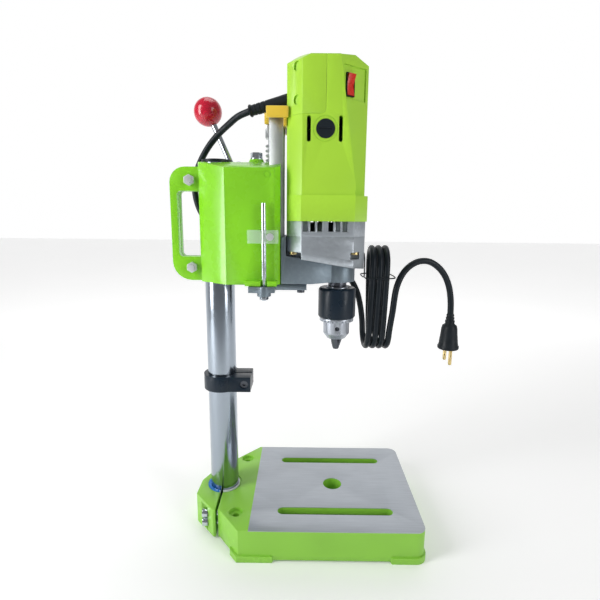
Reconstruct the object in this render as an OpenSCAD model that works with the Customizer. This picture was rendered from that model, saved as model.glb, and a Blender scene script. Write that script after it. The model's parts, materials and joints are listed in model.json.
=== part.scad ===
// Small bench drill press: split-clamped column on a ribbed base, a head with a
// rack feed, and a drill motor with a keyed chuck on a dovetail slide.
// +X is the operator's side, +Y the feed lever's side, +Z up.
// The origin is the top of the table hole, on the spindle axis.

/* [Base and table] */
// Height of the table top above the bench
table_h = 35.5; // [34:0.5:40]
// Half width of the table, front to back of the machine
table_x = 92; // [90:1:96]
// Half depth of the table along the lever's axis
table_y = 82; // [80:1:86]
// Diameter of the hole under the spindle
table_hole_d = 22; // [16:1:26]
// Length of each table slot, end to end
slot_l = 126; // [110:1:130]
// Width of each table slot
slot_w = 11.5; // [10:0.5:13]
// Distance of each slot from the middle of the table
slot_y = 50; // [46:1:54]

/* [Column and head] */
// Diameter of the column
column_d = 32; // [31:0.5:32]
// Distance from the column's axis to the spindle's
throat = 129; // [129:1:130]
// Height of the column's top above the bench
column_top = 405; // [402:1:410]
// Height of the head's lower face above the bench
head_z0 = 282.5; // [282.5:0.5:283]
// Height of the head's upper face above the bench
head_z1 = 405; // [404:0.5:405]
// Height of the stop collar's lower face above the bench
collar_z = 159; // [140:1:170]

/* [Feed] */
// Module of the rack and its pinion
rack_m = 1.5; // [1.5:0.1:1.5]
// Teeth on the rack pinion
pinion_z = 18; // [18:1:18]
// Height of the pinion shaft above the bench
pinion_axis_z = 335; // [333:1:337]
// Length of the feed lever from the shaft to the middle of its ball
lever_l = 146.6; // [130:0.2:150]
// Lean of the feed lever from the vertical
lever_lean = 23.9; // [20:0.1:30]

/* [Motor and chuck] */
// Distance from the motor's axis to the spindle's
gear_centres = 18; // [18:1:18]
// Module of the spindle gear and the motor pinion
gear_m = 0.75; // [0.75:0.01:0.75]
// Teeth on the spindle gear
gear_z = 36; // [36:1:36]
// Teeth on the motor pinion
motor_pinion_z = 12; // [12:1:12]
// Diameter of the chuck's black sleeve
sleeve_d = 41; // [40:0.5:42]
// Diameter of the chuck's lower body
chuck_d = 29; // [28.5:0.5:29]

/* [Cord] */
// Diameter of the cord
cord_d = 7; // [6:0.5:7]
// Turns of cord in the hank
hank_turns = 3.5; // [3.5:1:3.5]

/* [Hidden] */
$fn = 48;

gap = 0.05;                     // radial clearance of a running fit
cut = 1;                        // how far a cutting tool runs past a face
lime = [0.62, 0.84, 0.22];
green = [0.50, 0.82, 0.12];
grey = [0.47, 0.52, 0.56];
steel = [0.75, 0.76, 0.78];
dark = [0.12, 0.13, 0.15];
copper = [0.72, 0.42, 0.20];

column_r = column_d / 2;
bench_hole_x = -108;            // bench screw holes
bench_hole_y = 53;
clamp_y = -38;                  // column clamp bolts in the base
clamp_z = [12, 23];
head_y = 35;                    // half depth of the head
head_x1 = -61.2;                // the head's front end
head_shoulder = 397.8;          // where the head's sides meet its sloping top
boss_x = -87.5;                 // boss and bolt on the head's top
boss_top = 409.2;
dome_at = [-107.5, 10];         // domed screw on the head's top
handle_x0 = -177;
handle_z0 = 283.2;
handle_z1 = 400.8;
handle_y = 9.5;
handle_bolt_x = -156;
handle_bolt_z = [297.3, 387.2];
way_back = -72.5;               // dovetail slide bar
way_neck = -62;
way_front = -58.5;
way_y = [25, 19];               // its half widths at the back and in front
way_top = 451;
rod_x = -77;                    // depth rod
rod_y = -40;
rod_r = 2.5;
pinion_r = rack_m * pinion_z / 2;
pitch_x = -76.5;                // the rack's pitch line
pinion_x = pitch_x - pinion_r;
lever_y = 60;
motor_x = -gear_centres;
case_x0 = -55;                  // motor housing
case_x1 = 24;
case_y = 40;
case_z0 = 347;
case_band_z = 372;
case_z1 = 501;
case_rim = 494.1;               // where the chamfers of the case's top start
ring_z0 = 332;
cap_z0 = 446.5;
brush_z = 433;
brush_slot_x = [-33.8, -3.6];   // cooling slots beside the brush cap
dimple_at = [-45.5, -34.1];     // round dimples in the cap's rear facet
dimple_z = [459.7, 489.1];
switch_at = [5.5, -29.9, 474.2];
jaw_lean = 15;
jaw_r = 3.7;
hank_x0 = 31;                   // hank of cord
hank_w = (hank_turns + 1) * cord_d;
hank_y = 18.5;
hank_r = 21;
hank_z0 = 201;
hank_z1 = 321;

// Route of the cord from the strain relief to the hank
lead_route = [[-95, 8, 458.5], [-108, 14, 454.5], [-120, 23, 448], [-132, 31, 440],
    [-144, 35.5, 428], [-154, 38, 413], [-161, 40, 397], [-163, 41, 380], [-160, 41, 363],
    [-152, 41, 347], [-140, 41, 333], [-126, 41, 321], [-110, 41, 311], [-93, 41, 304],
    [-75, 41, 299], [-57, 41, 296], [-39, 41, 295], [-21, 41, 295], [-5, 41, 293],
    [9, 41, 287], [20, 40, 277], [27, 40, 264], [31, 40, 250]];
// Route of the cord from the hank to the plug
tail_route = [[62, -2, 250], [63, -2, 262], [65, -1, 275], [70, 1, 288], [78, 3, 298],
    [89, 5, 304], [101, 7, 304], [112, 9, 298], [121, 11, 288], [127, 12, 275],
    [130, 12, 260], [131, 12, 244]];

// ---- helpers ----

// Moves a part drawn above the bench into the frame whose origin is the table top
module placed() { translate([0, 0, -table_h]) children(); }

module rod_z(x, y, z0, z1, r) { translate([x, y, z0]) cylinder(h = z1 - z0, r = r); }

module rod_along_y(x, z, y0, y1, r) {
    translate([x, y1, z]) rotate([90, 0, 0]) cylinder(h = y1 - y0, r = r);
}

module rod_along_x(y, z, x0, x1, r) {
    translate([x0, y, z]) rotate([0, 90, 0]) cylinder(h = x1 - x0, r = r);
}

module block(low, high) { translate(low) cube(high - low); }

module hex_z(x, y, z0, z1, r) { translate([x, y, z0]) cylinder(h = z1 - z0, r = r, $fn = 6); }

module tube_z(x, y, z0, z1, r_in, r_out) {
    difference() {
        rod_z(x, y, z0, z1, r_out);
        rod_z(x, y, z0 - cut, z1 + cut, r_in);
    }
}

// Points of an arc about c, from angle a0 to a1
function arc(c, r, a0, a1, n = 6) =
    [for (i = [0:n]) c + r * [cos(a0 + (a1 - a0) * i / n), sin(a0 + (a1 - a0) * i / n)]];

// A plate drawn in X and Z, standing between y0 and y1
module upright(y0, y1) { translate([0, y1, 0]) rotate([90, 0, 0]) linear_extrude(y1 - y0) children(); }

// ---- involute teeth ----
pressure_angle = 20;
addendum = 0.8;
dedendum = 1.1;
backlash = 0.24;

function involute(rb, r) = let (a = acos(min(1, rb / r))) tan(a) * 180 / PI - a;

// Half of a tooth's angle at radius r
function half_tooth(r, rp, z) = let (rb = rp * cos(pressure_angle))
    90 / z - backlash / 2 / rp * 180 / PI + involute(rb, rp) - involute(rb, max(r, rb));

function gear_outline(z, m) = let (rp = z * m / 2, ra = rp + addendum * m, rf = rp - dedendum * m,
    rs = [rf, max(rf + 0.05, rp * cos(pressure_angle)), rp, (rp + ra) / 2, ra])
    [for (i = [0:z - 1]) each concat(
        [for (r = rs) let (a = i * 360 / z - half_tooth(r, rp, z)) [r * cos(a), r * sin(a)]],
        [for (k = [len(rs) - 1:-1:0]) let (r = rs[k], a = i * 360 / z + half_tooth(r, rp, z))
            [r * cos(a), r * sin(a)]])];

module gear(z, m, h, turn = 0) { rotate([0, 0, turn]) linear_extrude(h) polygon(gear_outline(z, m)); }

// ---- cord sweep ----
function blend_point(a, b, c, d, t) = 0.5 * ((2 * b) + (c - a) * t
    + (2 * a - 5 * b + 4 * c - d) * t * t + (3 * b - a - 3 * c + d) * t * t * t);

// Route with one point added between each pair, on a smooth curve
function smooth(p) = let (n = len(p) - 1) concat([for (i = [0:n - 1]) each
    [for (t = [0, 0.5]) blend_point(p[max(i - 1, 0)], p[i], p[i + 1], p[min(i + 2, n)], t)]], [p[n]]);

function unit(v) = v / norm(v);

function ring_at(p, i, r, sides) = let (n = len(p) - 1,
    t = unit(p[min(i + 1, n)] - p[max(i - 1, 0)]), u = unit(cross(t, [0, 1, 0])), v = cross(u, t))
    [for (k = [0:sides - 1]) p[i] + r * (cos(360 * k / sides) * u + sin(360 * k / sides) * v)];

module cord_tube(route, sides = 8) {
    p = smooth(route);
    n = len(p);
    points = [for (i = [0:n - 1]) each ring_at(p, i, cord_d / 2, sides)];
    wall = [for (i = [0:n - 2], k = [0:sides - 1]) let (j = (k + 1) % sides)
        [i * sides + k, i * sides + j, (i + 1) * sides + j, (i + 1) * sides + k]];
    polyhedron(points, concat(wall, [[for (k = [sides - 1:-1:0]) k]],
        [[for (k = [0:sides - 1]) (n - 1) * sides + k]]), convexity = 8);
}

// ---- base ----
module base_outline(grow = 0) {
    polygon(concat(
        arc([table_x - 10, -table_y + 10], 10 + grow, -90, 0),
        arc([table_x - 10, table_y - 10], 10 + grow, 0, 90),
        [[-94 - grow, table_y + grow], [-119 - grow, 55 + grow], [-147 - grow, 24],
            [-157 - grow, 4], [-158 - grow, -22], [-134 - grow, -50 - grow],
            [-127 - grow, -50 - grow], [-102 - grow, -table_y - grow]]));
}

// The open bays under the table, each as long as the table
module base_bays() {
    for (s = [-1, 1], y = [[4, 33], [39, 75]])
        block([-84, min(s * y[0], s * y[1]), -cut], [85, max(s * y[0], s * y[1]), table_h - 8]);
}

module base_feet() {
    for (s = [-1, 1]) {
        for (x = [-88, 78]) intersection() {
            linear_extrude(7) base_outline(2);
            translate([x, s * 72, 0]) cylinder(h = 7, r = 24);
        }
    }
    intersection() {
        linear_extrude(7) base_outline(0);
        block([-158, -30, 0], [-140, 26, 7]);
    }
}

module base_casting() {
    color(lime) placed() difference() {
        union() {
            translate([0, 0, 2]) linear_extrude(table_h - 2) base_outline();
            base_feet();
            rod_z(0, 0, 2, table_h, 18);
        }
        difference() {
            base_bays();
            rod_z(0, 0, 2, table_h, 18);
        }
        rod_z(0, 0, -cut, table_h + cut, table_hole_d / 2);
        for (s = [-1, 1]) {
            translate([0, s * slot_y, table_h - 9]) linear_extrude(10) {
                square([slot_l - slot_w, slot_w], center = true);
                for (e = [-1, 1]) translate([e * (slot_l - slot_w) / 2, 0]) circle(slot_w / 2);
            }
            rod_z(bench_hole_x, s * bench_hole_y, -cut, table_h + cut, 3.5);
            rod_z(bench_hole_x, s * bench_hole_y, table_h - 4, table_h + cut, 7.5);
        }
        rod_z(-throat, 0, 6, table_h + cut, 17.5);
        rod_z(-throat, 0, table_h - 1.5, table_h + cut, 20);
        block([-131.5, -60, -cut], [-128.5, -10, table_h + cut]);
        block([-165, clamp_y - 8, 4], [-142, clamp_y + 8, 31]);
        for (z = clamp_z) rod_along_x(clamp_y, z, -145, -112, 3.05);
    }
}

module base_clamp_bolts() {
    color(steel) placed() for (z = clamp_z) difference() {
        union() {
            rod_along_x(clamp_y, z, -142, -114, 3);
            rod_along_x(clamp_y, z, -148, -142, 4.9);
        }
        translate([-149, clamp_y, z]) rotate([0, 90, 0]) cylinder(h = 4, r = 2.9, $fn = 6);
    }
}

module column_liner() {
    color([0.05, 0.45, 0.85]) placed() difference() {
        union() {
            rod_z(-throat, 0, 6.2, table_h + 0.6, 17.45);
            intersection() {
                rod_z(-throat, 0, table_h - 1.4, table_h + 0.6, 19.8);
                block([-160, -21, 0], [-throat - 2, 6, 50]);
            }
        }
        rod_z(-throat, 0, 0, 60, column_r + gap);
        block([-131.4, -30, 0], [-128.6, 0, 60]);
    }
}

// ---- column ----
module column_tube() { color(steel) placed() tube_z(-throat, 0, 6.5, column_top, 13.5, column_r); }

module column_cap() {
    color(dark) placed() {
        rod_z(-throat, 0, column_top, column_top + 3.2, column_r - 0.2);
        rod_z(-throat, 0, column_top - 12, column_top, 13.4);
    }
}

module stop_collar() {
    color(dark) placed() difference() {
        union() {
            rod_z(-throat, 0, collar_z, collar_z + 17, 20.5);
            block([-throat, -18, collar_z], [-95, 13, collar_z + 17]);
        }
        rod_z(-throat, 0, collar_z - cut, collar_z + 18, column_r + gap);
        block([-throat, -3.5, collar_z - cut], [-90, -1.5, collar_z + 18]);
        rod_along_y(-102, collar_z + 8.5, -20, 8, 2.55);
        rod_along_y(-102, collar_z + 8.5, -20, -13, 4.7);
    }
}

module collar_screw() {
    color(steel) placed() difference() {
        union() {
            rod_along_y(-102, collar_z + 8.5, -13, 7, 2.5);
            rod_along_y(-102, collar_z + 8.5, -16.5, -13, 4.5);
        }
        translate([-102, -14.5, collar_z + 8.5]) rotate([90, 0, 0]) cylinder(h = 4, r = 2.3, $fn = 6);
    }
}

// ---- head ----
module way_outline() {
    polygon([[way_back, -way_y[0]], [way_neck, -way_y[1]], [way_front, -way_y[1]],
        [way_front, way_y[1]], [way_neck, way_y[1]], [way_back, way_y[0]]]);
}

module way_groove() {
    room = 0.3;
    translate([0, 0, head_z0 - cut]) linear_extrude(head_z1 - head_z0 + 2 * cut)
        offset(delta = room) way_outline();
}

module head_outline() {
    near = [[-147, -9], [-144.5, -14.5], [-116, -head_y], [-66.7, -head_y], [head_x1, -29]];
    polygon(concat(near, [for (i = [len(near) - 1:-1:0]) [near[i][0], -near[i][1]]]));
}

// The head's end view: flat on top, with a slope down to each side
module head_end_view() {
    polygon([[-head_y, head_z0], [head_y, head_z0], [head_y, head_shoulder], [14, head_z1],
        [-14, head_z1], [-head_y, head_shoulder]]);
}

module handle_outline() {
    polygon(concat(arc([handle_x0 + 20, handle_z0 + 20], 20, 270, 180),
        arc([handle_x0 + 16, handle_z1 - 16], 16, 180, 90),
        [[-140, handle_z1], [-140, handle_z0]]));
}

module handle_window() {
    polygon(concat(arc([-166, 312.6], 4, 270, 180), arc([-166, 372.6], 4, 180, 90),
        [[-147.01, 376.6], [-147.01, 308.6]]));
}

module head_body() {
    intersection() {
        translate([0, 0, head_z0]) linear_extrude(head_z1 - head_z0) head_outline();
        translate([-180, 0, 0]) rotate([90, 0, 90]) linear_extrude(140) head_end_view();
    }
    upright(-handle_y, handle_y) handle_outline();
    block([-96, -44, head_z0], [-64, -head_y + cut, head_z0 + 5]);
    translate([boss_x, 0, head_z1 - cut]) cylinder(h = boss_top - head_z1 + cut, r1 = 9.5, r2 = 7);
}

module head_casting() {
    low = head_z0 - cut;
    high = boss_top + cut;
    color(green) placed() difference() {
        head_body();
        upright(-15, 15) handle_window();
        rod_z(-throat, 0, low, high, column_r + gap);
        block([-180, -0.8, low], [-throat, 0.8, high]);
        way_groove();
        block([-78.6, -6, low], [-72, 6, high]);
        rod_along_y(pinion_x, pinion_axis_z, -8, 8, 16);
        rod_along_y(pinion_x, pinion_axis_z, -28, 36, 8);
        block([-80.2, -50, low], [-73.8, -36, 295]);
        rod_z(boss_x, 0, 385, high, 3.05);
        rod_z(dome_at[0], dome_at[1], 390, high, 2.55);
        for (z = handle_bolt_z) rod_along_y(handle_bolt_x, z, -20, 20, 3.05);
        translate([-73.5, -head_y - 0.01, 391.5]) rotate([-90, 0, 0]) difference() {
            cylinder(h = 0.35, r = 3.4);
            translate([0, 0, -cut]) cylinder(h = 3, r = 2.7);
        }
    }
}

module handle_bolts() {
    color(steel) placed() for (z = handle_bolt_z) {
        rod_along_y(handle_bolt_x, z, -16, handle_y, 3);
        translate([handle_bolt_x, handle_y + 4, z]) rotate([90, 0, 0]) cylinder(h = 4, r = 5.8, $fn = 6);
    }
}

module handle_nuts() {
    color(steel) placed() for (z = handle_bolt_z) difference() {
        translate([handle_bolt_x, -handle_y, z]) rotate([90, 30, 0]) cylinder(h = 4.6, r = 5.8, $fn = 6);
        rod_along_y(handle_bolt_x, z, -20, 0, 3.02);
    }
}

module head_top_screws() {
    color(steel) placed() {
        rod_z(boss_x, 0, 387, boss_top, 3);
        rod_z(boss_x, 0, boss_top, boss_top + 1, 6.6);
        hex_z(boss_x, 0, boss_top + 1, boss_top + 6.7, 6.2);
        rod_z(dome_at[0], dome_at[1], 392, head_z1, 2.5);
        translate([dome_at[0], dome_at[1], head_z1]) intersection() {
            translate([0, 0, -3]) sphere(r = 6.5);
            cylinder(h = 8, r = 6);
        }
    }
}

module pinion_bushes() {
    color([0.72, 0.55, 0.25]) placed() for (y = [[-28, -10], [10, 35.5]]) difference() {
        rod_along_y(pinion_x, pinion_axis_z, y[0], y[1], 7.95);
        rod_along_y(pinion_x, pinion_axis_z, y[0] - cut, y[1] + cut, 6 + gap);
    }
}

// Clock spring around the pinion shaft, behind the lever's hub
module return_spring() {
    color(dark) placed() for (r = [8.2:1.6:13]) difference() {
        rod_along_y(pinion_x, pinion_axis_z, 36, 38.2, r + 0.6);
        rod_along_y(pinion_x, pinion_axis_z, 35, 39, r);
    }
}

// ---- feed lever ----
module pinion_shaft() {
    color(steel) placed() {
        rod_along_y(pinion_x, pinion_axis_z, -27, 52, 6);
        translate([pinion_x, 5.5, pinion_axis_z]) rotate([90, 0, 0]) gear(pinion_z, rack_m, 11);
    }
}

module lever_axis() {
    translate([pinion_x, lever_y, pinion_axis_z]) rotate([0, -lever_lean, 0]) children();
}

module lever_hub() {
    color(dark) placed() difference() {
        union() {
            rod_along_y(pinion_x, pinion_axis_z, 38.6, 66, 12);
            rod_along_y(pinion_x, pinion_axis_z, 52, 68, 14);
        }
        rod_along_y(pinion_x, pinion_axis_z, 38, 52.1, 6.02);
        lever_axis() cylinder(h = 30, r = 3.55);
    }
}

module lever_rod() { color(steel) placed() lever_axis() cylinder(h = lever_l - 4, r = 3.5); }

module lever_ball() {
    color([0.78, 0.08, 0.18]) placed() difference() {
        lever_axis() translate([0, 0, lever_l]) sphere(r = 16);
        lever_axis() cylinder(h = lever_l - 4, r = 3.52);
    }
}

// ---- carriage ----
module carriage_outline() {
    polygon(concat([[-60.3, -30], [-30, -30]], arc([0, 0], 18.5, -115, 115, 24),
        [[-30, 30], [-60.3, 30]]));
}

// Everything below the sloping joint between the two castings
module below_slope(lift = 0) {
    upright(-60, 60) polygon([[-80, 270], [60, 270], [60, 293 + lift], [-80, 315.8 + lift]]);
}

module gear_chamber() {
    rod_z(0, 0, 296, 323.5, 15.2);
    rod_z(motor_x, 0, 300, 323.5, 7);
}

module carriage_casting() {
    color(grey) placed() difference() {
        union() {
            intersection() {
                translate([0, 0, 283]) linear_extrude(50) carriage_outline();
                below_slope();
            }
            block([-60.3, -30, 283], [-55.6, 30, 331]);
        }
        block([-62, -way_y[1] - gap, 270], [way_front + gap, way_y[1] + gap, 340]);
        gear_chamber();
        rod_z(0, 0, 280, 297, 10.5);
        rod_z(0, 0, 286, 297, 14.02);
        for (y = [-22, 22]) rod_z(-40, y, 280, 296, 2.05);
    }
}

module case_outline(grow = 0) {
    polygon([[case_x0, -24 - grow], [-40 - grow / 2, -case_y - grow], [-8, -case_y - grow],
        [case_x1 + grow, -16 - grow / 2], [case_x1 + grow, 16 + grow / 2],
        [-8, case_y + grow], [-40 - grow / 2, case_y + grow], [case_x0, 24 + grow]]);
}

// The wide lower outline, where the near and far panels reach furthest forward
module band_outline(grow = 0) {
    polygon([[case_x0, -24 - grow], [-40 - grow / 2, -case_y - grow],
        [12, -case_y - grow], [case_x1 + 1 + grow, -23], [case_x1 + 1 + grow, 23],
        [12, case_y + grow], [-40 - grow / 2, case_y + grow], [case_x0, 24 + grow]]);
}

module gearbox_casting() {
    color(grey + [0.1, 0.1, 0.1]) placed() difference() {
        translate([0, 0, 290]) linear_extrude(ring_z0 - 290) band_outline();
        below_slope(0.02);
        gear_chamber();
        rod_z(0, 0, 320, 340, 13);
        rod_z(motor_x, 0, 320, 340, 7);
        block([-70, -50, 280], [-55.5, 50, 340]);
        for (s = [-1, 1]) {
            block([-56, s * 36 - 14.5, 290], [-40, s * 36 + 14.5, 316]);
            block([9, s * 37 - 12, 309.5], [19, s * 37 + 12, 316.5]);
            rod_z(-48, s * 27, 310, 340, 2.05);
            rod_z(14, s * 30, 300, 340, 2.05);
        }
    }
}

module vents() {
    for (s = [-1, 1], x = [-38.5, -31.5, -24.5, -13.5, -6.5, 0.5])
        block([x, s * 38 - 6, 337], [x + 5, s * 38 + 6, case_z0 + 1]);
}

module gearbox_ring() {
    color(grey + [0.14, 0.14, 0.14]) placed() difference() {
        union() {
            difference() {
                translate([0, 0, ring_z0]) linear_extrude(case_z0 - ring_z0) band_outline();
                rod_z(motor_x, 0, 336, 350, 34.5);
            }
            rod_z(motor_x, 0, ring_z0, 345.5, 14);
            rod_z(0, 0, 323.6, ring_z0, 12.9);
        }
        vents();
        rod_z(0, 0, 320, 331.1, 9.52);
        rod_z(motor_x, 0, 320, 340, 5.5);
        rod_z(motor_x, 0, 338, 350, 11.02);
        for (s = [-1, 1]) {
            rod_z(-48, s * 27, 330, 350, 2.05);
            rod_z(14, s * 30, 330, 350, 2.05);
        }
    }
}

module gearbox_screws() {
    color([0.80, 0.66, 0.35]) placed() for (s = [-1, 1]) {
        rod_z(-48, s * 27, 316, 352, 2);
        rod_z(-48, s * 27, 313.4, 316, 4);
        rod_z(14, s * 30, 316.5, 352, 2);
        rod_z(14, s * 30, 313.9, 316.5, 4);
    }
}

// Ball bearing drawn as its two races with a shallow groove between them
module bearing(x, y, z0, h, r_in, r_out) {
    mid = (r_in + r_out) / 2;
    difference() {
        tube_z(x, y, z0, z0 + h, r_in, r_out);
        for (z = [z0 - cut, z0 + h - 0.7]) tube_z(x, y, z, z + cut + 0.7, mid - 1.5, mid + 1.5);
    }
}

module spindle_bearings() {
    color(steel) placed() {
        bearing(0, 0, 286.2, 8, 6 + gap, 14);
        bearing(0, 0, 324, 7, 4 + gap, 9.5);
    }
}

module motor_bearings() {
    color(steel) placed() {
        bearing(motor_x, 0, 338.2, 7, 4 + gap, 11);
        bearing(motor_x, 0, 450.4, 7, 4 + gap, 11);
    }
}

// The near and far raised panels, whose front edge slopes
module case_panels() {
    for (y = [[-case_y, -22], [22, case_y]]) upright(y[0], y[1])
        polygon([[-40, case_band_z - 2], [12, case_band_z - 2], [12, 382], [-5.3, case_z1],
            [-40, case_z1]]);
}

// Cuts the chamfer over a rear facet, which runs from [-40, 40] to [-55, 24] on either side
module facet_chamfer(side) {
    rise = (case_z1 - case_rim) / 10;
    translate([-40, side * case_y, 0]) rotate([0, 0, atan2(side * -16, -15)])
        translate([-60, 0, 0]) rotate([90, 0, 90]) linear_extrude(110)
            polygon([[-5 * side, case_rim - 5 * rise], [10 * side, case_z1], [10 * side, 512],
                [-5 * side, 512]]);
}

// Cuts the gentle slope that takes the case's top down to its near and far sides
module side_slope(side) {
    translate([-70, 0, 0]) rotate([90, 0, 90]) linear_extrude(110)
        polygon([[side * 27, case_z1], [side * 42, 497.5], [side * 42, 512], [side * 27, 512]]);
}

module case_shape() {
    difference() {
        union() {
            translate([0, 0, case_z0]) linear_extrude(case_band_z - case_z0) band_outline(1.5);
            translate([0, 0, case_z0]) linear_extrude(case_z1 - case_z0) case_outline();
            case_panels();
        }
        upright(-60, 60) polygon([[-60, 490.6], [-45, case_z1], [-45, 512], [-60, 512]]);
        upright(-60, 60) polygon([[30, 492.1], [9.5, case_z1], [9.5, 512], [30, 512]]);
        for (side = [-1, 1]) {
            facet_chamfer(side);
            side_slope(side);
        }
    }
}

module case_hollow() {
    rod_z(motor_x, 0, case_z0 - cut, 449, 34.5);
    rod_z(motor_x, 0, 448, 460, 11.02);
    block([-50, -18, 458], [12, 18, 488]);
}

module cap_region(shift = 0) {
    upright(-60, 60) polygon(concat([[-70, cap_z0 + shift], [-23, cap_z0 + shift]],
        arc([-23, cap_z0 + 5], 5 - shift, -90, 0), [[-18 - shift, 520], [-70, 520]]));
}

module facet_frame() {
    translate(switch_at) rotate([0, 0, 36.87]) children();
}

module switch_pocket() {
    facet_frame() {
        block([-9, -12, -13], [20, 1.6, 17]);
        block([-5.1, -4, -10.5], [5.1, 9, 10.5]);
    }
}

// A slot with round ends through the near side, matched by a shallow one on the far side
module brush_slot(x) {
    half = 1.85;
    for (y = [[-47, -28], [36.5, 47]]) {
        block([x - half, y[0], brush_z - 10], [x + half, y[1], brush_z + 10]);
        for (z = [-10, 10]) rod_along_y(x, brush_z + z, y[0], y[1], half);
    }
}

module brush_cuts() {
    for (s = [-1, 1]) {
        rod_along_y(motor_x, brush_z, s * 37.5 - 7.5, s * 37.5 + 7.5, 8.9);
        rod_along_y(motor_x, brush_z, s * 25 - 15, s * 25 + 15, 5.05);
        difference() {
            rod_along_y(motor_x, brush_z, s * 41 - 1.5, s * 41 + 1.5, 11.7);
            rod_along_y(motor_x, brush_z, s * 41 - 2, s * 41 + 2, 11.2);
        }
    }
    for (x = brush_slot_x) brush_slot(x);
}

// Shallow dimples on the near side, and the cap's two deep screw pockets on the far side
module cap_pockets() {
    for (z = dimple_z) {
        translate([dimple_at[0], dimple_at[1], z]) rotate([0, 0, -46.8]) rotate([90, 0, 0])
            translate([0, 0, -2]) cylinder(h = 6, r = 4.4);
        rod_along_y(-47.5, z, 27, 45, 3.2);
    }
}

module motor_housing() {
    color(lime) placed() difference() {
        case_shape();
        case_hollow();
        cap_region(-0.1);
        brush_cuts();
        switch_pocket();
        for (s = [-1, 1]) {
            rod_z(-48, s * 27, 340, 353, 2.05);
            rod_z(14, s * 30, 340, 353, 2.05);
        }
    }
}

module motor_cap() {
    color(lime) placed() difference() {
        intersection() {
            case_shape();
            cap_region(0.1);
        }
        block([-51.5, -20, 450], [-17, 20, 489]);
        rod_z(motor_x, 0, cap_z0 - cut, 460, 11.5);
        cap_pockets();
        rod_along_x(0, 467, -60, -50, 5);
    }
}

module housing_screws() {
    color(steel) placed() for (z = dimple_z) rod_along_y(-47.5, z, 27, 29.5, 3);
}

module brush_caps() {
    color(dark) placed() for (s = [-1, 1]) difference() {
        rod_along_y(motor_x, brush_z, s * 37.2 - 3.2, s * 37.2 + 3.2, 8.85);
        translate([motor_x, s * 40.4, brush_z]) cube([12, 1.6, 1.6], center = true);
    }
}

module brushes() {
    color(dark) placed() for (s = [-1, 1])
        translate([motor_x, s * 19.65, brush_z]) cube([6, 16.7, 6], center = true);
}

module stator_core() {
    color(steel) placed() difference() {
        rod_z(motor_x, 0, 376, 418, 34.4);
        rod_z(motor_x, 0, 370, 420, 19);
        for (s = [-1, 1]) block([motor_x - 14, s * 24 - 4, 370], [motor_x + 14, s * 24 + 4, 420]);
    }
}

module stator_windings() {
    color(copper) placed() for (s = [-1, 1]) difference() {
        block([motor_x - 13.8, s * 24 - 3.8, 370], [motor_x + 13.8, s * 24 + 3.8, 424]);
        rod_z(motor_x, 0, 360, 430, 19.5);
    }
}

module switch_frame() {
    color(dark) placed() facet_frame() difference() {
        block([-5, -0.4, -10.4], [5, 8.5, 10.4]);
        block([-4.5, -1.4, -9.9], [4.5, 7, 9.9]);
    }
}

// The button, and the pin that it rocks on
module rocker_button() {
    side_view = [[-0.8, -9.4], [3.5, -9.4], [5, 0], [3.5, 9.4], [-2.8, 9.4], [0.6, 0]];
    color([0.75, 0.10, 0.08]) placed() facet_frame() {
        translate([-4.2, 0, 0]) rotate([90, 0, 90]) linear_extrude(8.4) polygon(side_view);
        rod_along_x(2.5, 0, -4.4, 4.4, 1.2);
    }
}

module slide_bar() {
    color(steel) placed() translate([0, 0, 282.2]) linear_extrude(way_top - 282.2) way_outline();
}

module rack() {
    pitch = PI * rack_m;
    tip = pitch_x - addendum * rack_m;
    root = pitch_x + dedendum * rack_m;
    half = pitch / 4 - backlash / 2;
    spread = tan(pressure_angle);
    back = way_back - 0.02;
    color(dark + [0.2, 0.2, 0.2]) placed() upright(-5.5, 5.5) {
        polygon([[root - 0.01, 290], [back, 290], [back, 443], [root - 0.01, 443]]);
        polygon([[tip, 430], [root, 430], [root, 443], [tip, 443]]);
        for (k = [-6:18]) {
            z = pinion_axis_z + (k + 0.5) * pitch;
            wide = half + (root - pitch_x) * spread;
            narrow = half - (pitch_x - tip) * spread;
            polygon([[root, z - wide], [root, z + wide], [tip, z + narrow], [tip, z - narrow]]);
        }
    }
}

module top_bracket() {
    color([0.95, 0.78, 0.12]) placed() {
        block([-75, -30, way_top + 0.05], [case_x0 - 0.05, 30, 455.5]);
        block([-78.4, -9, 443.1], [way_back - 0.1, 9, 453.5]);
        for (s = [-1, 1]) block([-75, s * 28 - 2, 445], [-53.4, s * 28 + 2, 455.5]);
        block([way_front + 0.05, -26, 438], [case_x0 - 0.05, 26, 452]);
    }
}

module depth_bracket() {
    color(grey) placed() difference() {
        union() {
            block([-76, -26, 276], [-34, 26, 282]);
            block([-92.5, -46, 276], [-66, -20, 282]);
            rod_z(rod_x, rod_y, 272, 282, 7);
        }
        rod_z(rod_x, rod_y, 270, 284, rod_r + 0.02);
        for (y = [-22, 22]) rod_z(-40, y, 270, 284, 2.2);
    }
}

module bracket_screws() {
    color(dark) placed() for (y = [-22, 22]) {
        rod_z(-40, y, 276, 294, 2);
        rod_z(-40, y, 273.2, 276, 4);
    }
}

module depth_rod() { color(steel) placed() rod_z(rod_x, rod_y, 267.5, 364, rod_r); }

module rod_nuts() {
    color(steel) placed() difference() {
        hex_z(rod_x, rod_y, 268.5, 272, 4.6);
        rod_z(rod_x, rod_y, 260, 280, rod_r + 0.02);
    }
}

module depth_clip() {
    color([0.85, 0.92, 0.90, 0.5]) placed() difference() {
        block([-93, -44.5, 325], [-62.5, -36, 338]);
        rod_z(rod_x, rod_y, 320, 340, rod_r + gap);
        rod_along_y(-70.5, 331.5, -50, -30, 2.05);
    }
}

module clip_screw() {
    color(steel) placed() {
        rod_along_y(-70.5, 331.5, -44.5, -36.2, 2);
        rod_along_y(-70.5, 331.5, -46.5, -44.5, 3.6);
    }
}

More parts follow.
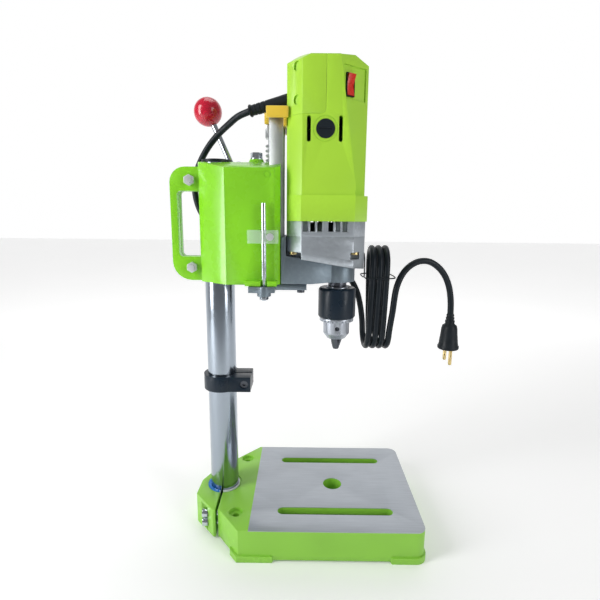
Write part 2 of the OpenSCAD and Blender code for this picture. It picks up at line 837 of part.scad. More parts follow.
// ---- motor's turning parts ----
module armature_shaft() {
    color(steel) placed() {
        rod_z(motor_x, 0, 313.4, 460, 4);
        translate([motor_x, 0, 302]) gear(motor_pinion_z, gear_m, 12, 15);
    }
}

module armature_core() {
    color([0.45, 0.46, 0.5]) placed() difference() {
        rod_z(motor_x, 0, 376, 418, 18.5);
        rod_z(motor_x, 0, 370, 420, 4);
        for (a = [0:30:330]) translate([motor_x, 0, 370]) rotate([0, 0, a])
            block([14, -1, 0], [20, 1, 50]);
    }
}

module commutator() {
    color(copper) placed() difference() {
        tube_z(motor_x, 0, 426, 440, 4, 11);
        for (a = [0:30:330]) translate([motor_x, 0, 420]) rotate([0, 0, a])
            block([10, -0.4, 0], [12, 0.4, 30]);
    }
}

module motor_fan() {
    color(dark) placed() translate([motor_x, 0, 0]) {
        tube_z(0, 0, 350, 362, 4, 8);
        tube_z(0, 0, 360, 362, 7, 31);
        for (a = [0:40:320]) rotate([0, 0, a]) block([7.5, -0.8, 351], [30, 0.8, 360.5]);
    }
}

// ---- spindle and chuck ----
module spindle() {
    color(steel) placed() {
        rod_z(0, 0, 262, 316, 6);
        rod_z(0, 0, 315, 331, 4);
        rod_z(0, 0, 277, 283.5, 10);
    }
}

module spindle_gear() {
    color(steel) placed() difference() {
        translate([0, 0, 303]) gear(gear_z, gear_m, 10);
        rod_z(0, 0, 300, 320, 6);
    }
}

module jaw_tilt(i) { rotate([0, 0, 120 * i]) translate([1, 0, 205.6]) rotate([0, jaw_lean, 0]) children(); }

module chuck_body() {
    color(steel) placed() difference() {
        union() {
            rod_z(0, 0, 224.3, 262, chuck_d / 2);
            rod_z(0, 0, 261, 276.4, 12);
            translate([0, 0, 218.7]) cylinder(h = 5.6, r1 = 10.5, r2 = chuck_d / 2);
        }
        rod_z(0, 0, 258, 280, 6);
        rod_z(0, 0, 210, 226, 5.2);
        for (i = [0:2]) {
            jaw_tilt(i) cylinder(h = 46, r = jaw_r + 0.2);
            rotate([0, 0, 120 * i - 90]) rod_along_x(0, 231.5, 8, 20, 2.4);
        }
    }
}

module jaw(i) {
    color(steel) placed() intersection() {
        jaw_tilt(i) translate([0, 0, -4]) cylinder(h = 25, r = jaw_r);
        union() {
            translate([0, 0, 205.6]) cylinder(h = 13.1, r1 = 3.2, r2 = 7.4);
            rod_z(0, 0, 218.6, 240, 15);
        }
        rotate([0, 0, 120 * i]) linear_extrude(300)
            polygon([[0.15, 0], [20.15, -34], [20.15, 34]]);
    }
}

module jaw_1() { jaw(0); }
module jaw_2() { jaw(1); }
module jaw_3() { jaw(2); }

module chuck_sleeve() {
    color(dark) placed() difference() {
        union() {
            rod_z(0, 0, 244, 273.8, sleeve_d / 2);
            translate([0, 0, 273.8]) cylinder(h = 2, r1 = sleeve_d / 2, r2 = sleeve_d / 2 - 2);
            translate([0, 0, 242.4]) cylinder(h = 1.6, r1 = sleeve_d / 2 - 1.2, r2 = sleeve_d / 2);
        }
        rod_z(0, 0, 240, 263, chuck_d / 2 + 1.4);
        rod_z(0, 0, 260, 280, 12 + gap);
    }
}

module chuck_gear_ring() {
    color(steel) placed() difference() {
        union() {
            tube_z(0, 0, 238.4, 242.4, chuck_d / 2 + gap, 18.8);
            tube_z(0, 0, 242.4, 250, chuck_d / 2 + gap, chuck_d / 2 + 1.38);
        }
        for (a = [0:15:345]) rotate([0, 0, a]) block([16.2, -0.9, 237], [20, 0.9, 240.2]);
    }
}

// ---- cord ----
module strain_relief() {
    color(dark) placed() translate(lead_route[0]) rotate([0, 77.8, 0]) rotate([10.5, 0, 0]) {
        cylinder(h = 2.5, r = 6.3);
        translate([0, 0, 2.5]) cylinder(h = 39.4, r1 = 5.2, r2 = 6.8);
    }
}

module cord_lead() { color(dark) placed() cord_tube(lead_route); }

module cord_tail() { color(dark) placed() cord_tube(tail_route); }

module cord_hank() {
    color(dark) placed() {
        block([hank_x0, hank_y - hank_r - cord_d / 2, hank_z0 + hank_r + cord_d / 2],
            [hank_x0 + hank_w, hank_y + hank_r + cord_d / 2, hank_z1 - hank_r - cord_d / 2]);
        for (z = [hank_z0 + hank_r + cord_d / 2, hank_z1 - hank_r - cord_d / 2])
            rod_along_x(hank_y, z, hank_x0, hank_x0 + hank_w, hank_r + cord_d / 2);
    }
}

module twist_tie() {
    color(dark) placed() difference() {
        union() {
            block([hank_x0 - 1, hank_y - 25.6, 285], [hank_x0 + hank_w + 1, hank_y + 25.6, 287]);
            block([case_x1 + 1.05, 8, 313], [hank_x0, 11, 316]);
            block([hank_x0 - 1, 8, 285], [hank_x0 - 0.02, 11, 316]);
        }
        block([hank_x0 - 0.02, hank_y - 24.52, 280], [hank_x0 + hank_w + 0.02, hank_y + 24.52, 290]);
    }
}

module plug() {
    color(dark) placed() {
        translate([131, 12, 206]) cylinder(h = 26, r1 = 11, r2 = 8.5);
        translate([131, 12, 232]) cylinder(h = 12, r1 = 6, r2 = 4.2);
        rod_z(131, 12, 203, 206, 12);
        for (y = [-9.5, 9.5]) rod_z(131, 12 + y, 186, 203, 2);
    }
}

base_casting();
base_clamp_bolts();
column_liner();
column_tube();
column_cap();
stop_collar();
collar_screw();
head_casting();
handle_bolts();
handle_nuts();
head_top_screws();
pinion_bushes();
return_spring();
pinion_shaft();
lever_hub();
lever_rod();
lever_ball();
carriage_casting();
gearbox_casting();
gearbox_ring();
gearbox_screws();
spindle_bearings();
motor_bearings();
motor_housing();
motor_cap();
housing_screws();
brush_caps();
brushes();
stator_core();
stator_windings();
switch_frame();
rocker_button();
slide_bar();
rack();
top_bracket();
depth_bracket();
bracket_screws();
depth_rod();
rod_nuts();
depth_clip();
clip_screw();
armature_shaft();
armature_core();
commutator();
motor_fan();
spindle();
spindle_gear();
chuck_body();
chuck_sleeve();
chuck_gear_ring();
jaw_1();
jaw_2();
jaw_3();
strain_relief();
cord_lead();
cord_hank();
cord_tail();
twist_tie();
plug();
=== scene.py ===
"""Looks of a small bench drill press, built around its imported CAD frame. Metres throughout."""

import json
import math

import bmesh
import bpy
from mathutils import Matrix, Vector


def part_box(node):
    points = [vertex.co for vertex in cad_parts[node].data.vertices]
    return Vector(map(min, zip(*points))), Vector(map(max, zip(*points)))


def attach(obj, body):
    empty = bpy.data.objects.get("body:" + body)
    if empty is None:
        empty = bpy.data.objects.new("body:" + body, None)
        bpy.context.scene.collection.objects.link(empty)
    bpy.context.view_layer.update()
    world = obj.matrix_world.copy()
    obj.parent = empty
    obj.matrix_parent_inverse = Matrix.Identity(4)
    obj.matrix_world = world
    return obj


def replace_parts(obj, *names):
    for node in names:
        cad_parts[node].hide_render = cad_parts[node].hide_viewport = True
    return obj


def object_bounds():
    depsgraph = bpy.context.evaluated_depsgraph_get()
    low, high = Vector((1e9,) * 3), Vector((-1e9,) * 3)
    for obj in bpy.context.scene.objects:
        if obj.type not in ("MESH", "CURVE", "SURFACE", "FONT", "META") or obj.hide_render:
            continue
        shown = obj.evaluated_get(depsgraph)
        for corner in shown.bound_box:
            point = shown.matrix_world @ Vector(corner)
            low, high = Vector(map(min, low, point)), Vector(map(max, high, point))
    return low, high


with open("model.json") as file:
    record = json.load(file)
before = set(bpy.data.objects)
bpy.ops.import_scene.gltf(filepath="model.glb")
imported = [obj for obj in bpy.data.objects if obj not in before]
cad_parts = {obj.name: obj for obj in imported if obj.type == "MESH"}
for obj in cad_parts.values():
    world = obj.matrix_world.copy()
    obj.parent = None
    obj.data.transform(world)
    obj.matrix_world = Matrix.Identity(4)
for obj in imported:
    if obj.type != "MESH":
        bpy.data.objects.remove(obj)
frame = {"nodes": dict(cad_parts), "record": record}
cad_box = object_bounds()
NODES = frame["nodes"]

MM = 0.001
TABLE_H = 35.5  # height of the table top over the bench, mm: the frame's origin is the table top


def place(x, y, z):
    """A point given in mm above the bench, in the frame's metres."""
    return Vector((x * MM, y * MM, (z - TABLE_H) * MM))


def collection_add(obj):
    bpy.context.scene.collection.objects.link(obj)
    return obj


# ---------------------------------------------------------------- camera
FOCAL_PIXELS = 430.0
FRAME_PIXELS = 600.0
SENSOR_MM = 36.0
CAMERA_AT = (-38.6, -468.0, 351.0)
PITCH_DOWN = 10.93
YAW = 0.27
ROLL = 0.54


def make_camera():
    data = bpy.data.cameras.new("camera")
    data.sensor_width = SENSOR_MM
    data.lens = FOCAL_PIXELS / FRAME_PIXELS * SENSOR_MM
    data.clip_start = 0.01
    data.clip_end = 30
    camera = collection_add(bpy.data.objects.new("camera", data))
    turn = (
        Matrix.Rotation(math.radians(YAW), 4, "Z")
        @ Matrix.Rotation(math.radians(90 - PITCH_DOWN), 4, "X")
        @ Matrix.Rotation(math.radians(ROLL), 4, "Z")
    )
    camera.matrix_world = Matrix.Translation(place(*CAMERA_AT)) @ turn
    bpy.context.scene.camera = camera


make_camera()

# ---------------------------------------------------------------- procedural materials


class Shader:
    """A Principled material, with helpers for the noise that varies it."""

    def __init__(self, name):
        self.material = bpy.data.materials.new(name)
        self.material.use_nodes = True
        self.tree = self.material.node_tree
        self.bsdf = self.tree.nodes["Principled BSDF"]
        self.coords = self.tree.nodes.new("ShaderNodeTexCoord").outputs["Object"]

    def node(self, kind, **settings):
        made = self.tree.nodes.new(kind)
        for key, value in settings.items():
            setattr(made, key, value)
        return made

    def link(self, source, target):
        self.tree.links.new(source, target)

    def stretched(self, x, y, z):
        """The object's own coordinates, scaled differently along each axis."""
        mapping = self.node("ShaderNodeMapping")
        mapping.inputs["Scale"].default_value = (x, y, z)
        self.link(self.coords, mapping.inputs["Vector"])
        return mapping.outputs["Vector"]

    def noise(self, scale, detail=3.0, vector=None):
        made = self.node("ShaderNodeTexNoise")
        made.inputs["Scale"].default_value = scale
        made.inputs["Detail"].default_value = detail
        self.link(vector or self.coords, made.inputs["Vector"])
        return made.outputs["Fac"]

    def mapped(self, value, low, high, start=0.3, end=0.7):
        made = self.node("ShaderNodeMapRange")
        made.inputs["From Min"].default_value = start
        made.inputs["From Max"].default_value = end
        made.inputs["To Min"].default_value = low
        made.inputs["To Max"].default_value = high
        self.link(value, made.inputs["Value"])
        return made.outputs["Result"]

    def mixed(self, factor, first, second):
        made = self.node("ShaderNodeMix", data_type="RGBA")
        self.link(factor, made.inputs["Factor"])
        for socket, value in (("A", first), ("B", second)):
            target = [i for i in made.inputs if i.name == socket and i.type == "RGBA"][0]
            if isinstance(value, tuple):
                target.default_value = (*value, 1)
            else:
                self.link(value, target)
        return [o for o in made.outputs if o.type == "RGBA"][0]

    def relief(self, height, strength, depth):
        bump = self.node("ShaderNodeBump")
        bump.inputs["Strength"].default_value = strength
        bump.inputs["Distance"].default_value = depth
        self.link(height, bump.inputs["Height"])
        normal = self.bsdf.inputs["Normal"]
        if normal.is_linked:
            self.link(normal.links[0].from_socket, bump.inputs["Normal"])
        self.link(bump.outputs["Normal"], normal)

    def painted_edge_highlight(self, colour, bare_and_edge_highlight, amount):
        """Painted edge highlight: a lighter tint of the colour along convex edges, broken up by
        noise.
        """
        point = self.node("ShaderNodeNewGeometry").outputs["Pointiness"]
        edge = self.mapped(point, 0, 1, 0.53, 0.60)
        patch = self.mapped(self.noise(260, 4), 0, amount, 0.45, 0.75)
        both = self.node("ShaderNodeMath", operation="MULTIPLY")
        self.link(edge, both.inputs[0])
        self.link(patch, both.inputs[1])
        return self.mixed(both.outputs[0], colour, bare_and_edge_highlight)

    def finish(self, colour, rough, metal=0.0, coat=0.0, specular=0.5):
        self.link(colour, self.bsdf.inputs["Base Color"])
        self.link(rough, self.bsdf.inputs["Roughness"])
        self.bsdf.inputs["Metallic"].default_value = metal
        self.bsdf.inputs["Coat Weight"].default_value = coat
        self.bsdf.inputs["Specular IOR Level"].default_value = specular
        return self.material


def shade(colour, factor):
    return tuple(min(1.0, c * factor) for c in colour)


def tinted(shader, colour, spread, scale=14):
    """The colour, drifting slightly lighter and darker over the piece."""
    drift = shader.mapped(shader.noise(scale), 0, 1)
    return shader.mixed(drift, shade(colour, 1 - spread), shade(colour, 1 + spread))


def enamel(name, colour, rough=0.3, coat=0.25, specular=0.5):
    """Sprayed paint on a casting: orange peel over faint lumps, with a painted highlight lighter
    along convex edges.
    """
    s = Shader(name)
    # painted highlight: a lighter tint of the enamel along convex edges
    base = s.painted_edge_highlight(tinted(s, colour, 0.06), shade(colour, 1.5), 0.5)
    s.relief(s.noise(130, 2), 0.25, 0.0004)
    s.relief(s.noise(900, 2), 0.18, 0.00012)
    return s.finish(base, s.mapped(s.noise(60), rough - 0.05, rough + 0.08), 0.0, coat, specular)


def table_enamel(name, colour, metal_colour):
    """The base's enamel, with its table top ground back to bare metal."""
    s = Shader(name)
    split = s.node("ShaderNodeSeparateXYZ")
    s.link(s.coords, split.inputs["Vector"])
    behind = s.mapped(split.outputs["X"], 0, 1, -0.0917, -0.0914)
    top = s.mapped(split.outputs["Z"], 0, 1, -0.0006, -0.0004)
    bare_and_edge_highlight = s.node("ShaderNodeMath", operation="MULTIPLY")
    s.link(behind, bare_and_edge_highlight.inputs[0])
    s.link(top, bare_and_edge_highlight.inputs[1])
    # painted highlight: a lighter tint of the paint along convex edges
    paint = s.painted_edge_highlight(tinted(s, colour, 0.06), shade(colour, 1.4), 0.4)
    grain = s.noise(220, 3, s.stretched(0.12, 3.0, 1.0))
    sheet = s.mixed(s.mapped(grain, 0, 1), shade(metal_colour, 0.93), shade(metal_colour, 1.06))
    base = s.mixed(bare_and_edge_highlight.outputs[0], paint, sheet)
    s.relief(s.noise(700, 2), 0.15, 0.0001)
    s.finish(base, s.mapped(s.noise(50), 0.30, 0.42), coat=0.0)
    metal = s.mapped(bare_and_edge_highlight.outputs[0], 0, 0.75, 0, 1)
    s.link(metal, s.bsdf.inputs["Metallic"])
    return s.material


def casting(name, colour, rough=0.42, metal=0.8):
    """Shot-blasted aluminium casting."""
    s = Shader(name)
    # painted highlight: a lighter tint of the casting along convex edges
    base = s.painted_edge_highlight(tinted(s, colour, 0.1, 30), shade(colour, 1.7), 0.6)
    s.relief(s.noise(220, 2), 0.2, 0.0003)
    s.relief(s.noise(1500, 3), 0.45, 0.00018)
    return s.finish(base, s.mapped(s.noise(400), rough - 0.06, rough + 0.1), metal)


def plastic(name, colour, rough=0.36, grain=0.25, coat=0.0, specular=0.5):
    """Moulded plastic with a fine spark-eroded grain."""
    s = Shader(name)
    # painted highlight: a lighter tint of the plastic along convex edges
    base = s.painted_edge_highlight(tinted(s, colour, 0.04), shade(colour, 1.25), 0.35)
    s.relief(s.noise(2200, 2), grain, 0.00008)
    return s.finish(base, s.mapped(s.noise(90), rough - 0.04, rough + 0.06), 0.0, coat, specular)


def turned_metal(name, colour, rough=0.2, along=(1.0, 1.0, 8.0), strength=0.12, metal=1.0):
    """Ground or turned metal, with fine marks across one direction."""
    s = Shader(name)
    lines = s.noise(900, 2, s.stretched(*along))
    base = s.mixed(s.mapped(lines, 0, 1), shade(colour, 0.92), shade(colour, 1.05))
    s.relief(lines, strength, 0.00006)
    return s.finish(base, s.mapped(s.noise(70), rough - 0.04, rough + 0.08), metal)


def plated(name, colour, rough=0.12):
    """Bright plating, with the slight ripple of the metal below."""
    s = Shader(name)
    s.relief(s.noise(60, 2), 0.06, 0.0003)
    varied = s.mapped(s.noise(240, 4), rough - 0.03, rough + 0.07)
    return s.finish(tinted(s, colour, 0.03), varied, 1.0)


def rubbery(name, colour, rough=0.45):
    s = Shader(name)
    s.relief(s.noise(1300, 2), 0.3, 0.0001)
    varied = s.mapped(s.noise(160), rough - 0.08, rough + 0.1)
    return s.finish(tinted(s, colour, 0.15, 60), varied, specular=0.22)


def film(name, colour, pale, edge_x):
    """Packing film: blue behind the column, pale where only the socket shows."""
    s = Shader(name)
    split = s.node("ShaderNodeSeparateXYZ")
    s.link(s.coords, split.inputs["Vector"])
    ragged = s.node("ShaderNodeMath", operation="MULTIPLY_ADD")
    s.link(s.noise(420, 3), ragged.inputs[0])
    ragged.inputs[1].default_value = 0.006
    s.link(split.outputs["X"], ragged.inputs[2])
    torn = s.mapped(ragged.outputs[0], 0, 1, edge_x + 0.003, edge_x + 0.0035)
    s.relief(s.noise(500, 3), 0.5, 0.0004)
    return s.finish(s.mixed(torn, colour, pale), s.mapped(s.noise(200), 0.15, 0.35))


def clear_plastic(name, colour):
    s = Shader(name)
    s.relief(s.noise(300, 2), 0.1, 0.0001)
    s.finish(tinted(s, colour, 0.03), s.mapped(s.noise(200), 0.08, 0.2))
    s.bsdf.inputs["Alpha"].default_value = 0.26
    s.bsdf.inputs["IOR"].default_value = 1.49
    return s.material


LIME = (0.395, 0.700, 0.045)
HEAD_GREEN = (0.235, 0.640, 0.018)
BASE_GREEN = (0.250, 0.560, 0.055)

MATERIALS = {
    "base_green": table_enamel("base_green", BASE_GREEN, (0.43, 0.46, 0.50)),
    "head_green": enamel("head_green", HEAD_GREEN, 0.26),
    "housing_lime": plastic("housing_lime", LIME, 0.34),
    "grey_casting": casting("grey_casting", (0.22, 0.27, 0.31)),
    "pale_casting": casting("pale_casting", (0.45, 0.49, 0.53), 0.4),
    "bright_steel": turned_metal("bright_steel", (0.62, 0.64, 0.66), 0.32, metal=0.72),
    "chrome": plated("chrome", (0.60, 0.65, 0.70), 0.16),
    "column_steel": plated("column_steel", (0.38, 0.43, 0.49), 0.16),
    "zinc_steel": turned_metal("zinc_steel", (0.74, 0.76, 0.78), 0.34, metal=0.6),
    "chuck_steel": turned_metal("chuck_steel", (0.43, 0.46, 0.51), 0.3, metal=0.72),
    "dark_steel": turned_metal("dark_steel", (0.12, 0.13, 0.15), 0.32),
    "black_plastic": plastic("black_plastic", (0.010, 0.015, 0.020), 0.4, specular=0.25),
    "black_enamel": enamel("black_enamel", (0.007, 0.016, 0.028), 0.3, 0.05, 0.3),
    "black_rubber": rubbery("black_rubber", (0.010, 0.014, 0.018)),
    "cord_black": rubbery("cord_black", (0.008, 0.013, 0.018), 0.38),
    "red_plastic": plastic("red_plastic", (0.56, 0.008, 0.035), 0.2, 0.04, 0.3),
    "red_switch": plastic("red_switch", (0.62, 0.025, 0.012), 0.28, 0.08, 0.2),
    "yellow_plastic": plastic("yellow_plastic", (0.76, 0.52, 0.05), 0.36),
    "blue_nylon": film("blue_nylon", (0.01, 0.16, 0.50), (0.62, 0.66, 0.68), -0.132),
    "clear_plastic": clear_plastic("clear_plastic", (0.80, 0.92, 0.82)),
    "bronze": turned_metal("bronze", (0.58, 0.38, 0.15), 0.35),
    "brass_screw": plated("brass_screw", (0.72, 0.56, 0.26), 0.25),
    "copper": turned_metal("copper", (0.60, 0.27, 0.12), 0.35),
}

# ---------------------------------------------------------------- CAD nodes
# Widths of the edge rounding in mm. Castings are rounder than machined and moulded parts.
EDGE_MM = {
    "base_casting": 1.4,
    "head_casting": 1.6,
    "motor_housing": 1.2,
    "motor_cap": 1.2,
    "gearbox_casting": 0.9,
    "gearbox_ring": 0.7,
    "carriage_casting": 1.2,
    "stop_collar": 1.0,
    "depth_bracket": 1.2,
    "top_bracket": 0.9,
    "lever_hub": 1.0,
    "slide_bar": 0.4,
    "rocker_button": 0.5,
    "chuck_sleeve": 0.6,
    "chuck_body": 0.3,
}
PLAIN_EDGE_MM = 0.25
# Nodes whose finish differs from the rest of their slot
NODE_FINISH = {
    "chuck_body": "chuck_steel",
    "chuck_gear_ring": "chuck_steel",
    "column_tube": "column_steel",
    "handle_bolts": "zinc_steel",
    "handle_nuts": "zinc_steel",
    "clip_screw": "zinc_steel",
}
SHARP_NODES = {
    "spindle_gear", "armature_shaft", "commutator", "armature_core", "cord_lead", "cord_tail",
}


def round_edges(obj, width_mm):
    weld = obj.modifiers.new("weld", "WELD")
    weld.merge_threshold = 1e-6
    bevel = obj.modifiers.new("edges", "BEVEL")
    bevel.width = width_mm * MM
    bevel.segments = 3
    bevel.limit_method = "ANGLE"
    bevel.angle_limit = math.radians(32)
    bevel.use_clamp_overlap = True
    bevel.harden_normals = True
    bevel.miter_outer = "MITER_ARC"


def dress_cad_nodes():
    slots = {s["node"]: s["material_slot"] for s in frame["record"]["subparts"]}
    for name, obj in NODES.items():
        obj.data.materials.clear()
        obj.data.materials.append(MATERIALS[NODE_FINISH.get(name, slots[name])])
        for face in obj.data.polygons:
            face.use_smooth = True
        if name not in SHARP_NODES:
            round_edges(obj, EDGE_MM.get(name, PLAIN_EDGE_MM))


# ---------------------------------------------------------------- cord
CORD_D = 7.0
LEAD_ROUTE = [
    (-95, 8, 458.5), (-108, 14, 454.5), (-120, 23, 448), (-132, 31, 440), (-144, 35.5, 428),
    (-154, 38, 413), (-161, 40, 397), (-163, 41, 380), (-160, 41, 363), (-152, 41, 347),
    (-140, 41, 333), (-126, 41, 321), (-110, 41, 311), (-93, 41, 304), (-75, 41, 299),
    (-57, 41, 296), (-39, 41, 295), (-21, 41, 295), (-5, 41, 293), (9, 41, 287),
    (20, 40, 277), (27, 40, 264), (31, 40, 250),
]
TAIL_ROUTE = [
    (62, -2, 250), (63, -2, 262), (65, -1, 275), (70, 1, 288), (78, 3, 298), (89, 5, 304),
    (101, 7, 304), (112, 9, 298), (121, 11, 288), (127, 12, 275), (130, 12, 260), (131, 12, 244),
]
HANK_X = (34.6, 58.9)
HANK_Y = 18.5
HANK_R = 21.0
HANK_Z = (225.5, 296.5)  # centres of the folds at the hank's ends
HANK_TURNS = 3


def hank_line():
    """Centreline of the hank: down the far run, round the lower fold, up the near run and over."""
    flat = []
    for turn in range(HANK_TURNS + 1):
        flat += [
            (HANK_Y + HANK_R * math.cos(a), HANK_Z[0] - HANK_R * math.sin(a))
            for a in [math.pi * i / 8 for i in range(9)]
        ]
        if turn < HANK_TURNS:
            flat += [
                (HANK_Y - HANK_R * math.cos(a), HANK_Z[1] + HANK_R * math.sin(a))
                for a in [math.pi * i / 8 for i in range(9)]
            ]
    run = [0.0]
    for a, b in zip(flat, flat[1:]):
        run.append(run[-1] + math.dist(a, b))
    span = HANK_X[1] - HANK_X[0]
    return [(HANK_X[0] + span * r / run[-1], y, z) for r, (y, z) in zip(run, flat)]


def smooth_line(points, step_mm=3.0):
    """Points every few mm along a Catmull-Rom curve with centripetal spacing."""
    p = [Vector(q) for q in points]
    p = [2 * p[0] - p[1]] + p + [2 * p[-1] - p[-2]]
    line = []
    for a, b, c, d in zip(p, p[1:], p[2:], p[3:]):
        t0, t1 = 0.0, math.sqrt((b - a).length)
        t2 = t1 + math.sqrt((c - b).length)
        t3 = t2 + math.sqrt((d - c).length)
        count = max(1, round((c - b).length / step_mm))
        for i in range(count):
            t = t1 + (t2 - t1) * i / count
            ab = a * ((t1 - t) / (t1 - t0)) + b * ((t - t0) / (t1 - t0))
            bc = b * ((t2 - t) / (t2 - t1)) + c * ((t - t1) / (t2 - t1))
            cd = c * ((t3 - t) / (t3 - t2)) + d * ((t - t2) / (t3 - t2))
            low = ab * ((t2 - t) / (t2 - t0)) + bc * ((t - t0) / (t2 - t0))
            high = bc * ((t3 - t) / (t3 - t1)) + cd * ((t - t1) / (t3 - t1))
            line.append(low * ((t2 - t) / (t2 - t1)) + high * ((t - t1) / (t2 - t1)))
    line.append(p[-2])
    return line


def tube_curve(name, points_mm, diameter_mm, material):
    data = bpy.data.curves.new(name, "CURVE")
    data.dimensions = "3D"
    data.bevel_depth = diameter_mm / 2 * MM
    data.bevel_resolution = 5
    data.use_fill_caps = True
    spline = data.splines.new("POLY")
    spline.points.add(len(points_mm) - 1)
    for target, point in zip(spline.points, points_mm):
        target.co = (*place(*point), 1)
    spline.use_smooth = True
    data.materials.append(MATERIALS[material])
    return collection_add(bpy.data.objects.new(name, data))


def mesh_piece(name, build, body, material, smooth_angle=40):
    """A mesh piece built by a bmesh function in mm above the bench, riding on a body."""
    mesh = bpy.data.meshes.new(name)
    bm = bmesh.new()
    build(bm)
    for v in bm.verts:
        v.co = place(*v.co)
    bmesh.ops.recalc_face_normals(bm, faces=bm.faces)
    bm.to_mesh(mesh)
    bm.free()
    for face in mesh.polygons:
        face.use_smooth = True
    mesh.set_sharp_from_angle(angle=math.radians(smooth_angle))
    mesh.materials.append(MATERIALS[material])
    obj = collection_add(bpy.data.objects.new(name, mesh))
    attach(obj, body)
    return obj


def turned(bm, profile, matrix, sides=48):
    """Revolves (radius, height) pairs about local Z, then moves the result by matrix."""
    rings = []
    for r, h in profile:
        if r < 1e-6:
            rings.append([bm.verts.new(matrix @ Vector((0, 0, h)))])
            continue
        angles = [2 * math.pi * i / sides for i in range(sides)]
        ring = [Vector((r * math.cos(a), r * math.sin(a), h)) for a in angles]
        rings.append([bm.verts.new(matrix @ point) for point in ring])
    for low, high in zip(rings, rings[1:]):
        for i in range(sides):
            j = (i + 1) % sides
            corners = [low[i % len(low)], low[j % len(low)]]
            corners += [high[j % len(high)], high[i % len(high)]]
            distinct = list(dict.fromkeys(corners))
            if len(distinct) > 2:
                bm.faces.new(distinct)


def aimed(origin, direction):
    """A matrix that puts local Z along direction, at origin."""
    turn = Vector(direction).to_track_quat("Z", "Y").to_matrix().to_4x4()
    return Matrix.Translation(Vector(origin)) @ turn


RELIEF_END = Vector((-95, 8, 458.5))
RELIEF_ROOT = Vector((-54.7, 0.4, 467.3))


def make_strain_relief():
    """Smooth tapered boot with a rolled lip at its end and three shallow flex grooves."""
    length = (RELIEF_ROOT - RELIEF_END).length
    profile = [
        (0, 0), (3.6, 0), (5.6, 0.1), (6.2, 0.6), (6.3, 1.4), (6.1, 2.2), (5.5, 2.7), (5.2, 3.4),
    ]
    for h in (8.0, 13.0, 18.0):
        r = 5.2 + 1.5 * h / length
        profile += [(r, h - 0.9), (r - 0.45, h - 0.45), (r - 0.45, h + 0.45), (r + 0.03, h + 0.9)]
    profile += [(6.3, length - 10), (6.7, length - 1), (6.7, length), (0, length)]
    matrix = aimed(RELIEF_END, RELIEF_ROOT - RELIEF_END)
    build = lambda bm: turned(bm, profile, matrix)
    piece = mesh_piece("strain_relief_sleeve", build, "carriage", "black_rubber")
    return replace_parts(piece, "strain_relief")


PLUG_TOP = Vector((131, 12, 244))
PIN_Y = 9.5


def make_plug():
    body = [
        (0, 0), (3.7, 0), (4.3, -0.8), (4.3, -2.2), (3.9, -2.6), (3.9, -3.4), (4.7, -3.9),
        (4.8, -5.6), (4.3, -6.0), (4.3, -6.9), (5.3, -7.5), (5.5, -9.2), (5.0, -9.7), (5.4, -11.5),
        (8.0, -13.5), (8.9, -17), (9.4, -23), (10.2, -30), (10.8, -36), (11.9, -37.5), (11.9, -40),
        (11.0, -41), (0, -41),
    ]
    pin = [(0, 0), (1.95, 0), (1.95, -10), (2.0, -10.2), (2.0, -16), (1.2, -17), (0, -17)]

    def build(bm):
        turned(bm, body, Matrix.Translation(PLUG_TOP))

    def build_pins(bm):
        for side in (-1, 1):
            turned(bm, pin, Matrix.Translation(PLUG_TOP + Vector((0, side * PIN_Y, -40.9))), 20)

    piece = mesh_piece("plug_body", build, "carriage", "black_rubber")
    pins = mesh_piece("plug_pins", build_pins, "carriage", "brass_screw")
    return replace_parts(piece, "plug"), pins


def make_twist_tie():
    """A bagged wire tie: once round the hank, then up to the gearbox casting."""
    x0, x1 = HANK_X[0] - CORD_D / 2 - 0.3, HANK_X[1] + CORD_D / 2 + 0.2
    y0, y1 = HANK_Y - HANK_R - CORD_D / 2 - 0.3, HANK_Y + HANK_R + CORD_D / 2 + 0.3
    z = 286.0
    loop = [
        (x0, 9, z), (x0, y0 + 4, z), (x0 + 4, y0, z), (x1 - 4, y0, z + 0.5), (x1, y0 + 4, z + 0.5),
        (x1, y1 - 4, z), (x1 - 4, y1, z), (x0 + 4, y1, z - 0.5), (x0, y1 - 4, z - 0.5),
        (x0, 12, z), (x0, 10.5, z + 3), (x0 - 0.2, 9.6, z + 9), (x0 - 0.3, 9.5, z + 18),
        (29, 9.5, 313), (26.3, 9.5, 314.5),
    ]
    piece = tube_curve("twist_tie_wire", smooth_line(loop, 1.5), 1.5, "black_plastic")
    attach(piece, "carriage")
    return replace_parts(piece, "twist_tie")


def make_cord():
    into_hank, out_of_hank = (33.2, 39.8, 238), (60.4, -2.4, 238)
    line = smooth_line(LEAD_ROUTE + [into_hank] + hank_line() + [out_of_hank] + TAIL_ROUTE)
    piece = tube_curve("mains_lead", line, CORD_D, "cord_black")
    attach(piece, "carriage")
    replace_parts(piece, "cord_lead", "cord_hank", "cord_tail")
    relief = make_strain_relief()
    plug, pins = make_plug()
    tie = make_twist_tie()


dress_cad_nodes()
make_cord()


# ---------------------------------------------------------------- refined pieces
BALL_AT = Vector((-149.4, 60, 469.0))
LEVER_FOOT = Vector((-90, 60, 335))
BALL_R = 16.0
BALL_ALONG_ROD = 146.6  # from the lever's foot to the ball's centre
ROD_SOCKET_R = 5.2  # flat on the ball, where the rod screws in


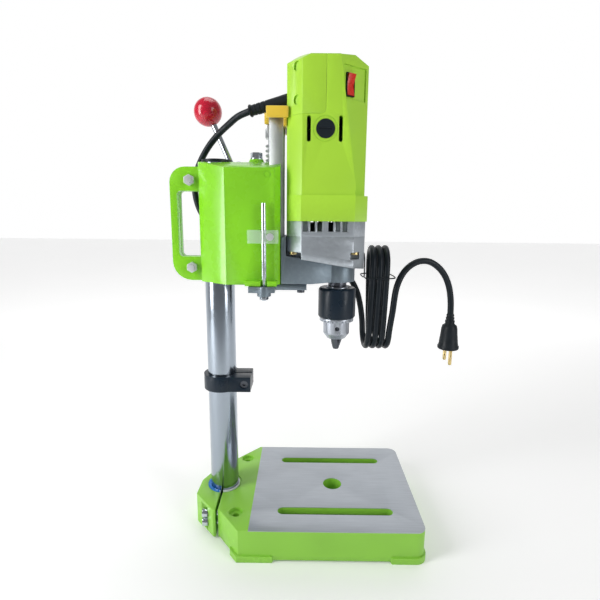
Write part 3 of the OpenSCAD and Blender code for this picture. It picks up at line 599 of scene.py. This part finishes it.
def make_ball():
    """Round knob with a flat where the rod screws in."""
    profile = [(0, BALL_R), (0.9, BALL_R - 0.05)]
    steps = 40
    for i in range(2, steps):
        a = math.pi * i / steps
        r, h = BALL_R * math.sin(a), BALL_R * math.cos(a)
        if r < ROD_SOCKET_R and h < 0:
            break
        profile.append((r, h))
    foot = -math.sqrt(BALL_R**2 - ROD_SOCKET_R**2)
    profile += [(ROD_SOCKET_R, foot), (4.6, foot - 0.2), (3.7, foot - 0.2)]
    profile += [(3.7, foot + 2), (0, foot + 2)]
    direction = (BALL_AT - LEVER_FOOT).normalized()
    matrix = aimed(LEVER_FOOT + direction * BALL_ALONG_ROD, direction)
    build = lambda bm: turned(bm, profile, matrix, 64)
    piece = mesh_piece("ball_knob", build, "lever", "red_plastic")
    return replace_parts(piece, "lever_ball")


make_ball()


# ---------------------------------------------------------------- floor, light and world
FLOOR_HALF_M = 6.0
# painted shade: the floor's colour in front of the object, greyer than behind it
FLOOR_FRONT_PAINTED_SHADE = (0.45, 0.46, 0.47)
FLOOR_BEHIND = (0.92, 0.92, 0.92)


def make_stage():
    low = min(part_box("base_casting")[0][2], cad_box[0][2])
    mesh = bpy.data.meshes.new("floor")
    half = FLOOR_HALF_M
    corners = [(-half, -half, low), (half, -half, low), (half, half, low), (-half, half, low)]
    mesh.from_pydata(corners, [], [(0, 1, 2, 3)])
    floor = collection_add(bpy.data.objects.new("floor", mesh))
    s = Shader("floor")
    split = s.node("ShaderNodeSeparateXYZ")
    s.link(s.coords, split.inputs["Vector"])
    # painted light and shade: paler and glowing behind the object, like a sweep lit from behind,
    # and a painted shade greyer well in front of it
    fade = s.mapped(split.outputs["Y"], 0, 1, -0.75, -0.3)
    colour = s.mixed(fade, FLOOR_FRONT_PAINTED_SHADE, FLOOR_BEHIND)
    mesh.materials.append(s.finish(colour, s.mapped(s.noise(3), 0.6, 0.7)))
    # painted light: the floor glows, weakly in front of the object and more strongly behind it
    s.bsdf.inputs["Emission Color"].default_value = (1, 1, 1, 1)
    s.link(s.mapped(split.outputs["Y"], 0.04, 0.5, -0.1, 0.9), s.bsdf.inputs["Emission Strength"])


# Strength of the studio's white surround, in front of the object and behind it
WORLD_FRONT = 0.22
WORLD_BEHIND = 1.0


def area_light(name, at, aim, width, height, watts):
    data = bpy.data.lights.new(name, "AREA")
    data.shape = "RECTANGLE"
    data.size = width
    data.size_y = height
    data.energy = watts
    light = collection_add(bpy.data.objects.new(name, data))
    light.matrix_world = aimed(Vector(at), Vector(at) - Vector(aim))
    light.visible_camera = False


def make_world():
    """White behind the object and greyer in front, so that bright metal has contrast."""
    world = bpy.data.worlds.new("studio")
    bpy.context.scene.world = world
    world.use_nodes = True
    tree = world.node_tree
    coords = tree.nodes.new("ShaderNodeTexCoord")
    split = tree.nodes.new("ShaderNodeSeparateXYZ")
    tree.links.new(coords.outputs["Generated"], split.inputs["Vector"])
    fade = tree.nodes.new("ShaderNodeMapRange")
    fade.interpolation_type = "SMOOTHSTEP"
    fade.inputs["From Min"].default_value = 0.3
    fade.inputs["From Max"].default_value = 0.8
    fade.inputs["To Min"].default_value = WORLD_FRONT
    fade.inputs["To Max"].default_value = WORLD_BEHIND
    tree.links.new(split.outputs["Y"], fade.inputs["Value"])
    tree.links.new(fade.outputs["Result"], tree.nodes["Background"].inputs["Strength"])
    tree.nodes["Background"].inputs["Color"].default_value = (1, 1, 1, 1)


def make_lights():
    aim = (-0.03, 0.0, 0.2)
    area_light("left_strip", (-0.95, -0.42, 0.52), aim, 0.35, 1.0, 9.5)
    area_light("right_strip", (0.72, -0.62, 0.47), aim, 0.3, 0.9, 3.9)
    area_light("top", (0.0, 0.25, 1.9), aim, 1.2, 1.0, 9)
    make_world()
    bpy.context.scene.view_settings.view_transform = "Standard"


make_stage()
make_lights()
